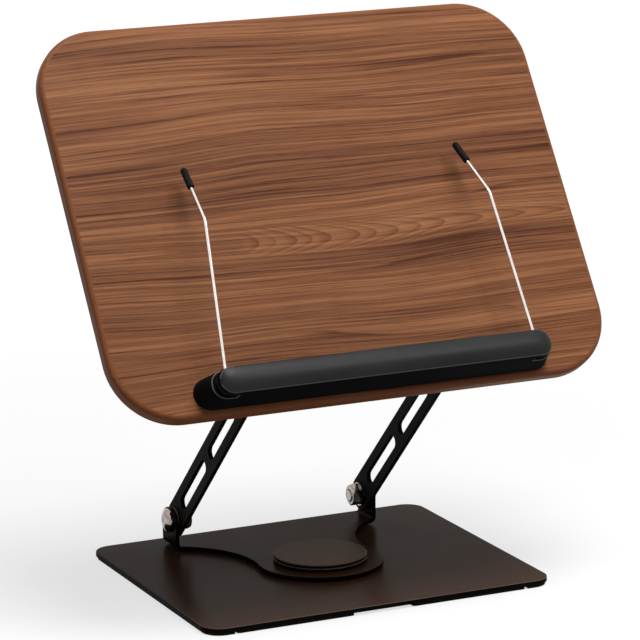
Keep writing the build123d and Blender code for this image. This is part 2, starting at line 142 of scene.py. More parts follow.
class BookStandCoats(PropertyGroup):
    """Colours of the coated steel, the mouldings and the bright hardware."""

    plate: colour_of("Plate coat", "Coat of the base plate and the bracket on it", srgb(63, 43, 30))
    hub: colour_of("Hub coat", "Coat of the hub's cover and ring", srgb(114, 93, 78))
    # painted shade: colour of the upright faces of plate, hub and bracket
    side: colour_of("Coated sides", "Upright faces of plate, hub and bracket", srgb(20, 17, 14))
    # painted highlight: colour of the rounded upper edges of the plate and the hub
    rim: colour_of("Coated edges", "Upper edges of the plate and the hub", srgb(110, 96, 86))
    black: colour_of("Black coat", "Coat of the arms and brackets", srgb(28, 26, 25))
    moulding: colour_of("Moulding", "Moulded ledge", srgb(32, 32, 32))
    # painted highlight: light line on the bevelled edges low on the ledge and at its ends
    worn: colour_of("Worn edge", "Rubbed edges of the ledge", srgb(88, 87, 86))
    rubber: colour_of("Rubber", "Strips under the plate and sleeves of the clips", srgb(17, 17, 17))
    steel: colour_of("Plated steel", "Bolts, nuts and washers", srgb(186, 180, 175))
    nickel: colour_of("Nickel", "Wire of the page clips", srgb(240, 236, 230))
    nylon: colour_of("Nylon", "Washers and locking rings", srgb(205, 202, 194))
    spring: colour_of("Spring steel", "Disc spring of the swivel", srgb(120, 118, 122))
    screw: colour_of("Black screw", "Screws in the board and the hub", srgb(34, 33, 33))


class BookStandLedge(PropertyGroup):
    """Sizes of the ledge, measured along the board, up it and out of its face."""

    length: size_of("Length", "Length at the board", 242.0)
    height: size_of("Height", "Height at the board", 21.0)
    rise: size_of("Rise", "Lower side of the ledge above the board's lower edge", 3.7)
    depth: size_of("Depth", "From the board's face to the crest of the front", 30.0)
    end_draft: size_of("End draft", "How much each end comes in at the front", 9.0)
    top_draft: size_of("Top draft", "How much the top comes down at the front", 4.0)
    crown: size_of("Crown", "How far the crest stands over the front's long edges", 2.0)
    end_reach: size_of("End rounding", "Length over which the front rounds back at each end", 12.0)
    end_drop: size_of("End drop", "How far the front rounds back at each end", 4.0)
    edge: size_of("Edge rounding", "Width of the rounding on the ledge's sharp edges", 0.5)
    slot_from: size_of("Slot from", "Slot for a clip, out from the board's face", 18.5)
    slot_width: size_of("Slot width", "Width of the slot for a clip", 4.5)
    slot_wall: size_of("Slot wall", "Inner wall of a slot, from the middle of the ledge", 101.0)


class BookStandHardware(PropertyGroup):
    """Sizes of the hinge bolts, their lock nuts and the screws of the board's bracket."""

    head_radius: size_of("Head radius", "Radius of a bolt's domed head", 8.0)
    head_height: size_of("Head height", "Height of a bolt's domed head", 4.6)
    head_rim: size_of("Head rim", "Height of the straight rim under the dome", 1.6)
    shank_radius: size_of("Shank radius", "Radius of a bolt over its thread", 4.0)
    pitch: size_of("Pitch", "Distance between two turns of a bolt's thread", 1.25)
    thread_length: size_of("Thread length", "Length of thread at a bolt's end", 9.0)
    bolt_end: size_of("Bolt end", "Thread that stands out of a lock nut", 0.2)
    nut_flats: size_of("Nut flats", "Width of a lock nut across its flats", 13.0)
    nut_height: size_of("Nut height", "Height of a lock nut's hexagon", 6.1)
    collar_radius: size_of("Collar radius", "Radius of a lock nut's collar", 4.8)
    collar_height: size_of("Collar height", "Height of a lock nut's collar", 0.5)
    ring_radius: size_of("Ring radius", "Outer radius of the nylon locking ring", 4.4)
    screw_head_radius: size_of("Screw head radius", "Radius of a wood screw's head", 4.0)
    screw_head_height: size_of("Screw head height", "Height of a wood screw's head", 2.4)
    screw_radius: size_of("Screw radius", "Radius of a wood screw's shank", 2.0)
    screw_length: size_of("Screw length", "Length of a wood screw under its head", 11.0)
    screw_spread: size_of("Screw spread", "Distance between the two columns of wood screws", 110.0)
    screw_row: size_of("Screw row", "Distance between two rows of wood screws", 30.0)
    screw_rise: size_of("Screw rise", "Middle row of wood screws above the board's lower edge", 48.3)
    screw_depth: size_of("Screw depth", "Underside of a wood screw's head behind the face", 14.5)


class BookStandStudio(PropertyGroup):
    """Where the camera stands, and how bright the plain studio is."""

    azimuth: angle_of("Azimuth", "Camera's turn round the stand from straight ahead", -24.699)
    elevation: angle_of("Elevation", "Camera's height above the horizon", 12.8)
    roll: angle_of("Roll", "Camera's turn about its own line of sight", -0.8)
    distance: size_of("Distance", "From the point aimed at to the camera", 2270.0)
    aim: FloatVectorProperty(
        name="Aim", description="Point in the middle of the picture", subtype="XYZ", unit="LENGTH",
        default=(0.01784, 0.03809, 0.15882),
    )
    lens: value_of("Focal length", "In millimetres", 196.3)
    floor: colour_of("Floor", "Colour of the floor", (0.3, 0.3, 0.3))
    sky: value_of("Fill", "Brightness of the even light from all round", 0.18)
    lamp: value_of("Soft box", "Power of the soft box overhead, in watts", 38.0)
    front: value_of("Key light", "Power of the light in front, in watts", 8.0)


GROUPS = {
    "book_stand_wood": BookStandWood,
    "book_stand_coats": BookStandCoats,
    "book_stand_ledge": BookStandLedge,
    "book_stand_hardware": BookStandHardware,
    "book_stand_studio": BookStandStudio,
}


def configured(thing, **settings):
    """The thing, with these of its attributes set."""
    for name, value in settings.items():
        setattr(thing, name, value)
    return thing


def linked(name, data):
    """A new object in the scene."""
    thing = bpy.data.objects.new(name, data)
    bpy.context.scene.collection.objects.link(thing)
    return thing


def mesh_of(name, body):
    """A bmesh as a mesh. The bmesh is freed."""
    mesh = bpy.data.meshes.new(name)
    body.to_mesh(mesh)
    body.free()
    return mesh


class Wire:
    """What comes out of a node. Plain arithmetic with it adds the math nodes."""

    def __init__(self, graph, socket):
        self.graph = graph
        self.socket = socket

    def __add__(self, other):
        return self.graph.math("ADD", self, other)

    def __radd__(self, other):
        return self.graph.math("ADD", other, self)

    def __sub__(self, other):
        return self.graph.math("SUBTRACT", self, other)

    def __rsub__(self, other):
        return self.graph.math("SUBTRACT", other, self)

    def __mul__(self, other):
        return self.graph.math("MULTIPLY", self, other)

    def __truediv__(self, other):
        return self.graph.math("DIVIDE", self, other)

    def __neg__(self):
        return self * -1.0

    def __abs__(self):
        return self.graph.math("ABSOLUTE", self)


class Graph:
    """A node tree under construction, with short calls that add its nodes and feed their sockets."""

    def __init__(self, tree):
        tree.nodes.clear()
        self.nodes = tree.nodes
        self.links = tree.links

    def feed(self, socket, value):
        """Link a socket to a wire, or to several, or give it a plain value."""
        if isinstance(value, list):
            for each in value:
                self.feed(socket, each)
        elif isinstance(value, Wire):
            self.links.new(value.socket, socket)
        else:
            socket.default_value = value

    def node(self, kind, inputs=(), **settings):
        """Add a node and set it up."""
        node = configured(self.nodes.new(kind), **settings)
        for name, value in dict(inputs).items():
            self.feed(node.inputs[name], value)
        return node

    def add(self, kind, output=0, inputs=(), **settings):
        """Add a node and give one of its outputs."""
        return Wire(self, self.node(kind, inputs, **settings).outputs[output])

    def outputs(self, kind, inputs=()):
        """Add a node and give its outputs by name."""
        return {socket.name: Wire(self, socket) for socket in self.node(kind, inputs).outputs}

    def math(self, operation, first, second=0.0):
        return self.add("ShaderNodeMath", inputs={0: first, 1: second}, operation=operation)

    def larger(self, first, second):
        return self.math("MAXIMUM", first, second)

    def point(self, x=0.0, y=0.0, z=0.0):
        return self.add("ShaderNodeCombineXYZ", inputs={0: x, 1: y, 2: z})

    def parts(self, vector):
        """A vector's three components."""
        return list(self.outputs("ShaderNodeSeparateXYZ", {0: vector}).values())

    def seen_directly(self):
        """One for rays from the camera and for mirrored or bent ones, zero for light on things."""
        path = self.outputs("ShaderNodeLightPath")
        seen = self.larger(path["Is Camera Ray"], path["Is Glossy Ray"])
        return self.larger(seen, path["Is Transmission Ray"])


PAST = 1.0 * MM     # how far a cutting body stands out of what it cuts
LAP = 0.5 * MM      # how far joined bodies reach into each other
RIDGE = 0.42        # radius of a thread's ridge, as a share of its pitch


class Shape(Graph):
    """A geometry tree under construction. Its named sizes are inputs, and so are the finish and the
    place and turn of the points that its one pattern is repeated on."""

    def __init__(self, name, **sizes):
        self.group = bpy.data.node_groups.new(name, "GeometryNodeTree")
        super().__init__(self.group)
        self.face = self.group.interface
        self.values = {}
        for size, value in sizes.items():
            self.input(size, "NodeSocketFloat", value)
        self.input("Place", "NodeSocketVector", (0.0, 0.0, 0.0))
        self.input("Turn", "NodeSocketVector", (0.0, 0.0, 0.0))
        self.input("Finish", "NodeSocketMaterial", None)
        self.face.new_socket("Geometry", in_out="OUTPUT", socket_type="NodeSocketGeometry")
        self.sizes = self.outputs("NodeGroupInput")

    def input(self, name, kind, value):
        self.values[name] = (self.face.new_socket(name, socket_type=kind).identifier, value)

    def moved(self, geometry, place=(0.0, 0.0, 0.0), turn=(0.0, 0.0, 0.0)):
        inputs = {"Geometry": geometry, "Translation": place, "Rotation": turn}
        return self.add("GeometryNodeTransform", inputs=inputs)

    def cylinder(self, radius, low, high, sides=48):
        inputs = {"Vertices": sides, "Radius": radius, "Depth": high - low}
        body = self.add("GeometryNodeMeshCylinder", inputs=inputs)
        return self.moved(body, self.point(z=(low + high) * 0.5))

    def cone(self, low_radius, high_radius, low, high, sides=48):
        """A cone between two levels. Unlike a cylinder's, its origin is in its lower end."""
        body = self.add("GeometryNodeMeshCone", inputs={
            "Vertices": sides, "Radius Bottom": low_radius, "Radius Top": high_radius,
            "Depth": high - low,
        })
        return self.moved(body, self.point(z=low))

    def dome(self, radius, rim, crest):
        """A disc from level zero whose top is domed from the rim's level to the crest's."""
        rise = crest - rim
        curve = (radius * radius + rise * rise) / (rise * 2.0)
        inputs = {"Segments": 64, "Rings": 64, "Radius": curve}
        ball = self.add("GeometryNodeMeshUVSphere", inputs=inputs)
        ball = self.moved(ball, self.point(z=crest - curve))
        return self.both(self.cylinder(radius, 0.0, crest + PAST), ball)

    def bar(self, x, y, z):
        return self.add("GeometryNodeMeshCube", inputs={"Size": self.point(x, y, z)})

    def thread(self, radius, pitch, low, high):
        """A thread's ridge, wound upwards from one level to another."""
        height = high - low
        path = self.add("GeometryNodeCurveSpiral", inputs={
            "Resolution": 24, "Rotations": height / pitch,
            "Start Radius": radius, "End Radius": radius, "Height": height,
        })
        ridge = self.add("GeometryNodeCurvePrimitiveCircle", inputs={
            "Resolution": 4, "Radius": pitch * RIDGE,
        })
        inputs = {"Curve": path, "Profile Curve": ridge, "Fill Caps": True}
        return self.moved(self.add("GeometryNodeCurveToMesh", inputs=inputs), self.point(z=low))

    def boolean(self, operation, inputs):
        return self.add("GeometryNodeMeshBoolean", inputs=inputs, operation=operation, solver="EXACT")

    def cut(self, body, *tools):
        return self.boolean("DIFFERENCE", {"Mesh 1": body, "Mesh 2": list(tools)})

    def both(self, *bodies):
        """What all the bodies have in common."""
        return self.boolean("INTERSECT", {"Mesh 2": list(bodies)})

    def fused(self, *bodies):
        return self.boolean("UNION", {"Mesh 2": list(bodies)})

    def joined(self, *bodies):
        return self.add("GeometryNodeJoinGeometry", inputs={"Geometry": list(bodies)})

    def repeated(self, pattern, points, turn=(0.0, 0.0, 0.0)):
        """The pattern on each of the points, then all of it at the tree's place and turn."""
        copies = self.add("GeometryNodeInstanceOnPoints", inputs={
            "Points": points, "Instance": pattern, "Rotation": turn,
        })
        placed = self.moved(copies, self.sizes["Place"], self.sizes["Turn"])
        whole = self.add("GeometryNodeRealizeInstances", inputs={"Geometry": placed})
        dressed = self.add("GeometryNodeSetMaterial", inputs={
            "Geometry": whole, "Material": self.sizes["Finish"],
        })
        self.node("NodeGroupOutput", {"Geometry": dressed})

    def on_both_sides(self, pattern, reach):
        """The pattern with its Z pointing outwards at each end of a pin that is along X."""
        outward = self.moved(pattern, self.point(reach), (0.0, math.pi / 2, 0.0))
        two = self.add("GeometryNodePoints", inputs={"Count": 2})
        index = self.add("GeometryNodeInputIndex")
        self.repeated(outward, two, self.point(z=index * math.pi))


def settle(name, shape, body, slot, replaced, finish, **given):
    """Work a shape out once with the given inputs, keep it as a plain mesh and fix it to the stand."""
    piece = linked(name, bpy.data.meshes.new(name))
    modifier = configured(piece.modifiers.new("shape", "NODES"), node_group=shape.group)
    given["Finish"] = finish.material
    for size, (identifier, value) in shape.values.items():
        modifier[identifier] = given.get(size, value)
    plain(piece, angle=32)
    fasten(piece, body, replaced)


def plain(piece, angle):
    """Replace a piece's mesh by the result of its modifiers, smooth but for its real edges."""
    ready = piece.evaluated_get(bpy.context.evaluated_depsgraph_get())
    mesh = bpy.data.meshes.new_from_object(ready)
    if not mesh.polygons:
        raise RuntimeError(f"{piece.name} came out empty")
    raw = piece.data
    piece.modifiers.clear()
    piece.data = mesh
    bpy.data.meshes.remove(raw)
    mesh.name = piece.name
    mesh.shade_smooth()
    mesh.set_sharp_from_angle(angle=math.radians(angle))


def fasten(piece, body, replaced):
    """Fix a piece to a body, and in place of a node unless that is None."""
    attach(piece, body)
    if replaced:
        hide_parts(replaced)


class Finish(Graph):
    """A material under construction: one surface shader and short calls for the nodes that feed it."""

    def __init__(self, name, colour, roughness, metallic=0.0, specular=0.5):
        self.material = bpy.data.materials.new(name)
        self.material.use_nodes = True
        super().__init__(self.material.node_tree)
        self.surface = self.node("ShaderNodeBsdfPrincipled")
        self.node("ShaderNodeOutputMaterial", {"Surface": Wire(self, self.surface.outputs["BSDF"])})
        coordinates = self.outputs("ShaderNodeTexCoord")
        self.place = coordinates["Object"]
        self.normal = coordinates["Normal"]
        self.set("Base Color", (*colour, 1.0))
        self.set("Roughness", roughness)
        self.set("Metallic", metallic)
        self.set("Specular IOR Level", specular)

    def set(self, name, value):
        self.feed(self.surface.inputs[name], value)

    def colour(self):
        """What feeds the colour so far."""
        return Wire(self, self.surface.inputs["Base Color"].links[0].from_socket)

    def vector(self, operation, first, second=(0.0, 0.0, 0.0), output="Vector"):
        return self.add("ShaderNodeVectorMath", output, {0: first, 1: second}, operation=operation)

    def placed(self, move=(0, 0, 0), turn=(0, 0, 0), scale=(1, 1, 1), place=None):
        """Coordinates stretched, then turned, then moved."""
        return self.add("ShaderNodeMapping", inputs={
            "Vector": place or self.place, "Location": move, "Rotation": turn, "Scale": scale,
        })

    def noise(self, place, scale, detail=2.0, roughness=0.5):
        inputs = {"Vector": place, "Scale": scale, "Detail": detail, "Roughness": roughness}
        return self.add("ShaderNodeTexNoise", "Fac", inputs)

    def streaks(self, place, scale, detail, roughness=0.5, move=(0, 0, 0)):
        """Noise with a scale of its own along each axis."""
        return self.noise(self.placed(move, scale=scale, place=place), 1.0, detail, roughness)

    def step(self, value, low, high, new_low=0.0, new_high=1.0, kind="SMOOTHSTEP"):
        """A smooth step, or one of another kind, from new_low at low to new_high at high."""
        return self.add("ShaderNodeMapRange", inputs={
            "Value": value, "From Min": low, "From Max": high, "To Min": new_low, "To Max": new_high,
        }, interpolation_type=kind)

    def mix(self, share, first, second):
        """Two colours mixed by a share, 0 to 1."""
        node = self.node("ShaderNodeMix", data_type="RGBA")
        inputs = {socket.identifier: socket for socket in node.inputs}
        self.feed(inputs["Factor_Float"], share)
        for name, colour in (("A_Color", first), ("B_Color", second)):
            self.feed(inputs[name], colour if isinstance(colour, Wire) else (*colour, 1.0))
        return Wire(self, next(s for s in node.outputs if s.identifier == "Result_Color"))

    def bump(self, height, distance):
        """Raise the surface by a height of 0 to 1 times distance."""
        inputs = {"Height": height, "Distance": distance}
        self.set("Normal", self.add("ShaderNodeBump", "Normal", inputs))


def toned(colour, share):
    """A colour made darker or lighter."""
    return tuple(c * share for c in colour)


# Scales of noise, per metre: changes of tone in coats, in plated metal (its tint and painted
# reflection) and in rubber, and its grain
COAT_CLOUDS, PLATE_TINT_AND_REFLECTION_CLOUDS, SOFT_CLOUDS, SOFT_GRAIN = 14.0, 240.0, 60.0, 2500.0


def coated(name, colour, roughness, specular, grain=0.35 * MM, relief=0.02 * MM, mottle=0.16):
    """Powder coat: a fine orange peel, and slow changes of tone and gloss."""
    finish = Finish(name, colour, roughness, specular=specular)
    peel = finish.noise(finish.place, 1 / grain / 2)
    cloud = finish.noise(finish.place, COAT_CLOUDS, detail=4.0, roughness=0.6)
    darker, lighter = toned(colour, 1 - mottle), toned(colour, 1 + mottle)
    finish.set("Base Color", finish.mix(finish.step(cloud, 0.35, 0.65), darker, lighter))
    finish.set("Roughness", finish.step(cloud, 0.3, 0.7, roughness - 0.04, roughness + 0.04))
    finish.bump(peel, relief)
    return finish


def paint_side_shade_and_edge_highlight(finish, sides, edges):
    """Paint shade on upright faces, so that they look black, and give rounded upper edges the edges'
    tone, a painted highlight where it is lighter than the coat.
    """
    upward = abs(finish.parts(finish.normal)[2])
    # rounded upper edges: painted highlight
    edge = finish.mix(finish.step(upward, 0.86, 0.97), edges, finish.colour())
    # upright faces: painted shade
    finish.set("Base Color", finish.mix(finish.step(upward, 0.2, 0.4), sides, edge))


def plated(name, colour, roughness, grain=0.12 * MM, tint_and_reflection_patches=(0.64, 0.56, 0.53)):
    """Bright plated metal with faint tool marks, and darker warm patches: the tint that plating takes,
    and painted reflection of the surroundings.
    """
    finish = Finish(name, colour, roughness, metallic=1.0)
    marks = finish.noise(finish.place, 1 / grain / 8, detail=5.0, roughness=0.65)
    cloud = finish.noise(finish.place, PLATE_TINT_AND_REFLECTION_CLOUDS, detail=1.0)
    tint_and_reflection = tuple(c * share for c, share in zip(colour, tint_and_reflection_patches))
    finish.set("Roughness", finish.step(marks, 0.25, 0.75, roughness * 0.8, roughness * 1.3))
    # darker warm patches: plating's tint and painted reflection
    finish.set("Base Color", finish.mix(finish.step(cloud, 0.36, 0.6), tint_and_reflection, colour))
    finish.bump(marks, 0.002 * MM)
    return finish


def soft(name, colour, roughness, specular=0.35):
    """Rubber or nylon: dull, with a fine grain and slow changes of tone."""
    finish = Finish(name, colour, roughness, specular=specular)
    grain = finish.noise(finish.place, SOFT_GRAIN, detail=3.0)
    cloud = finish.noise(finish.place, SOFT_CLOUDS, detail=3.0)
    finish.set("Base Color", finish.mix(cloud, toned(colour, 0.75), toned(colour, 1.25)))
    finish.set("Roughness", finish.step(grain, 0.2, 0.8, roughness - 0.06, roughness + 0.06))
    finish.bump(grain, 0.03 * MM)
    return finish


def wear(finish, *nodes):
    """Give a finish to nodes of the frame."""
    for node in nodes:
        for slot in frame["nodes"][node].material_slots:
            slot.material = finish.material


def to_board(finish):
    """Coordinates in millimetres along the board's own axes, from the middle of its face."""
    turned = Matrix.Rotation(-BOARD_TILT, 3, "X") @ BOARD_MIDDLE
    return finish.placed(tuple(-turned / MM), (-BOARD_TILT, 0, 0), (1 / MM,) * 3)


def rounded_edge(finish, place, half_width, half_height, corner):
    """Distance from a rounded rectangle's outline, in the units of place: below zero inside it."""
    flat = finish.vector("ABSOLUTE", finish.vector("MULTIPLY", place, (1, 1, 0)))
    past = finish.vector("SUBTRACT", flat, (half_width - corner, half_height - corner, 0))
    outside = finish.vector("LENGTH", finish.vector("MAXIMUM", past), output="Value")
    across, up = finish.parts(past)[:2]
    return outside + finish.math("MINIMUM", finish.larger(across, up), 0.0) - corner


# The veneer's figure. Lengths are in millimetres and rates per millimetre, and a seed picks the noise.
# Tone is 0 in the darkest wood and 1 in the lightest.
LAYERS = (      # streaks: length, breadth, seed and how far they change the tone
    (500, 38, 2, 0.5),
    (420, 13, 5, 0.5),
    (300, 4.6, 9, 0.55),
    (240, 1.9, 12, 0.85),
    (110, 1.1, 15, 0.9),
)
SLOW_RATES, SLOW_WAVE = (0.0034, 0.008, 0.008), 26.0        # waves that lift and lower the lines,
QUICK_RATES, QUICK_WAVE = (0.016, 0.03, 0.03), 1.6          # along and across, and how far they do
WANDER_RATE, WANDER_GAPS = 0.002, 2.7       # how lines wander along the board, and over how many gaps
STRENGTH_RATE, UNLIKE = 0.008, 7.31         # how one's strength changes, unlike its neighbours'
STRENGTH_FADE, LINE_END = 0.3, 0.93         # softness of its ends, and where its upper side starts
HEART_DEPTH, HEART_SLOPE, HEART_LEVELS = 17.0, 0.05, 0.0001     # heart line behind the board's face
RING_NARROW, RING_NARROWS, LEAST_NARROW = 0.92, 0.0038, 0.6     # in height, and more to the right
ARCH_FADE, ARCH_START_FADE = 2.5, 18.0      # soft edges above and below the arches, and at their left
UPPER_FADE, LOWER_FADE = 3.0, 4.0           # and of the two dark bands
BAND_TONE, LINE_TONE, STREAK_TONE, ARCH_TONE, PORE_TONE = 0.13, 0.6, 0.36, 0.4, 0.2     # darkening
ARCH_LIFT, LIFT = 0.06, 0.08                # the arches' ground lightens, and then the whole board
PORE_RATES, PORE_FROM, PORE_TO = (0.06, 1.5, 1.5), 0.54, 0.74   # the noise above PORE_FROM is pores
EDGE_RATES, EDGE_FROM, EDGE_TO = (0.05, 0.6, 0.6), -0.3, 1.6    # the veneer's end at the rounded edge


def growth_lines(finish, along, height, gap, seed, sharpness, least=0.34, drift=5.0):
    """Lines along the grain: each darkens to its upper side, at a strength of its own that comes and
    goes along the board. Gives 0 between lines and up to 1 on them."""
    spot = finish.point(along * WANDER_RATE, height / (WANDER_GAPS * gap), seed)
    lines = height / gap + finish.noise(spot, 1.0, detail=1.0) * drift
    share, number = finish.math("FRACT", lines), finish.math("FLOOR", lines)
    late = finish.math("POWER", share, sharpness) * finish.step(share, 1.0, LINE_END)
    spot = finish.point(along * STRENGTH_RATE, number * UNLIKE, seed + 4.0)
    return late * finish.step(finish.noise(spot, 1.0), least, least + STRENGTH_FADE)


def band(finish, height, middle, width, fade):
    """One inside a band of heights, zero outside it, with a soft edge of fade at each side."""
    half = width / MM / 2
    return finish.step(abs(height - middle / MM), half + fade / 2, half - fade / 2)


def arched(finish, wood, along, height):
    """Rings about a heart line that sinks away from the face to the right. Gives where the figure is,
    and its lines."""
    rise = height - wood.arch_height / MM
    across = rise * finish.larger(along * RING_NARROWS + RING_NARROW, LEAST_NARROW)
    depth = along * (HEART_SLOPE - along * HEART_LEVELS) + HEART_DEPTH
    depth = finish.larger(depth, 0.0)
    radius = finish.math("SQRT", across * across + depth * depth)
    rings = growth_lines(
        finish, 0.0, radius, wood.arch_gap / MM, seed=3.0, sharpness=2.4, least=0.2, drift=1.6
    )
    reach, start = wood.arch_reach / MM, wood.arch_start / MM
    inside = finish.step(abs(rise), reach, reach - ARCH_FADE)
    return inside * finish.step(along, start, start + ARCH_START_FADE), rings


def walnut(wood):
    """Flat-cut veneer: close, nearly straight growth lines in bands of tone, one slender figure of
    arches where the cut runs near the log's heart, pores along the grain, and a plain rounded edge."""
    finish = Finish("walnut_veneer", wood.middle, 0.45, specular=0.07)
    place = to_board(finish)
    along, up = finish.parts(place)[:2]
    slow = finish.streaks(place, SLOW_RATES, 1.0)
    quick = finish.streaks(place, QUICK_RATES, 1.0, move=(3, 8, 1))
    height = up + (slow - 0.5) * SLOW_WAVE + (quick - 0.5) * QUICK_WAVE
    shade = 0.5
    for length, breadth, seed, strength in LAYERS:
        spot = finish.point(along / length, height / breadth, seed)
        shade = shade + (finish.noise(spot, 1.0) - 0.5) * strength
    upper = band(finish, height, wood.upper_band, wood.upper_band_width, UPPER_FADE)
    lower = band(finish, height, wood.lower_band, wood.lower_band_width, LOWER_FADE)
    lines = growth_lines(finish, along, height, wood.line_gap / MM, seed=6.0, sharpness=7.0)
    fine = growth_lines(finish, along, height, wood.streak_gap / MM, seed=8.0, sharpness=1.5)
    inside, rings = arched(finish, wood, along, height)
    straight = lines * LINE_TONE + fine * STREAK_TONE
    dark = (1.0 - inside) * straight + inside * (rings * ARCH_TONE - ARCH_LIFT)
    pores = finish.streaks(place, PORE_RATES, 2.0, roughness=0.7)
    pore = finish.step(pores, PORE_FROM, PORE_TO)
    shade = shade - (upper + lower) * BAND_TONE - dark - pore * PORE_TONE + LIFT
    tone = finish.mix(finish.step(shade, 0.0, 0.5, kind="LINEAR"), wood.dark, wood.middle)
    tone = finish.mix(finish.step(shade, 0.5, 1.0, kind="LINEAR"), tone, wood.light)
    # the rounded edge has no veneer
    outline = rounded_edge(
        finish, place, BOARD_WIDTH / 2 / MM, HALF_HEIGHT / MM, wood.board_corner / MM
    )
    start = -wood.edge_round / MM
    rim = finish.step(outline, start + EDGE_FROM, start + EDGE_TO)
    grain = finish.streaks(place, EDGE_RATES, 4.0)
    bare = finish.mix(grain, toned(wood.edge, 0.8), toned(wood.edge, 1.2))
    finish.set("Base Color", finish.mix(rim, tone, bare))
    finish.set("Roughness", finish.step(pores, 0.4, 0.8, 0.4, 0.52))
    finish.bump(1.0 - pore, 0.03 * MM)
    return finish


class BOOKSTAND_OT_board(Operator):
    """Give the board its walnut veneer"""

    bl_idname = "bookstand.board"
    bl_label = "Board"

    def execute(self, context):
        wear(walnut(context.scene.book_stand_wood), "board")
        return {"FINISHED"}


class BOOKSTAND_OT_plate(Operator):
    """Coat the base plate and the hub, and give the strips their rubber"""

    bl_idname = "bookstand.plate"
    bl_label = "Base and hub"

    def execute(self, context):
        coats = context.scene.book_stand_coats
        for name, colour, roughness, edges, nodes in (
            ("plate_coat", coats.plate, 0.27, coats.rim, ("base_plate",)),
            ("bracket_coat", coats.plate, 0.3, coats.plate, ("swivel_bracket",)),
            ("hub_coat", coats.hub, 0.4, coats.rim, ("hub_ring", "hub_cover")),
        ):
            coat = coated(name, colour, roughness, specular=0.008, relief=0.005 * MM, mottle=0.06)
            # painted shade on the upright faces, and a painted highlight on the upper edges where
            # their tone is lighter
            paint_side_shade_and_edge_highlight(coat, coats.side, edges)
            wear(coat, *nodes)
        rubber = soft("strip_rubber", coats.rubber, roughness=0.8, specular=0.1)
        wear(rubber, *(node for node in frame["nodes"] if node.startswith("pad_")))
        return {"FINISHED"}


class BOOKSTAND_OT_steelwork(Operator):
    """Coat the board's bracket and the arms black"""

    bl_idname = "bookstand.steelwork"
    bl_label = "Board bracket and arms"

    def execute(self, context):
        coats = context.scene.book_stand_coats
        coat = coated("black_coat", coats.black, roughness=0.55, specular=0.015)
        wear(coat, "board_bracket", "left_arm", "right_arm")
        return {"FINISHED"}


def on_board(mesh):
    """Take a mesh from the board's own axes, from the middle of its lower edge, to its place."""
    turned = Matrix((Vector((1, 0, 0)), BOARD_UP, BOARD_OUT)).transposed().to_4x4()
    mesh.transform(Matrix.Translation(BOARD_MIDDLE - BOARD_UP * HALF_HEIGHT) @ turned)


# The points of the ledge's mesh: steps round each rounded end, places along each straight side as
# shares of its half length, and rings on the front, in from its outline.
END_STEPS = 24
PLACES = (-0.98, -0.94, -0.88, -0.7, -0.3, 0.3, 0.7, 0.88, 0.94, 0.98)
INSETS = [each * MM for each in (0.0, 0.8, 1.7, 2.7, 3.8, 5.2, 6.8)]


def ledge_outline(half_length, half_height, middle):
    """Points round a slot's outline, each with the nearest point of the slot's middle line."""
    straight = half_length - half_height
    points = []
    for side in (1, -1):
        centre = (side * straight, middle)
        for n in range(END_STEPS + 1):
            turn = math.radians(90 * side - 180 / END_STEPS * n)
            point = (centre[0] + half_height * math.cos(turn), middle + half_height * math.sin(turn))
            points.append((point, centre))
        for place in PLACES:
            x = -side * place * straight
            points.append(((x, middle - side * half_height), (x, middle)))
    return points


def mark_painted_highlights(mesh, middle, ends=100.0 * MM, front=20.0 * MM):
    """Note in an attribute the faces that the bevel made in the ledge's lower half and near its ends,
    which get a painted highlight, and leave only them and the smooth front in the first, glossier
    material; the other faces take the second, darker one, with painted shade."""
    worn = mesh.attributes.new("worn", "FLOAT", "FACE")
    for face in mesh.polygons:
        low = face.center.y < middle or abs(face.center.x) > ends
        # bevelled faces low on the ledge or near its ends get the painted highlight
        highlighted_edge = bool(face.material_index) and low
        smooth = face.normal.z > 0.5 and face.center.z > front
        worn.data[face.index].value = float(highlighted_edge)
        face.material_index = 0 if highlighted_edge or smooth else 1


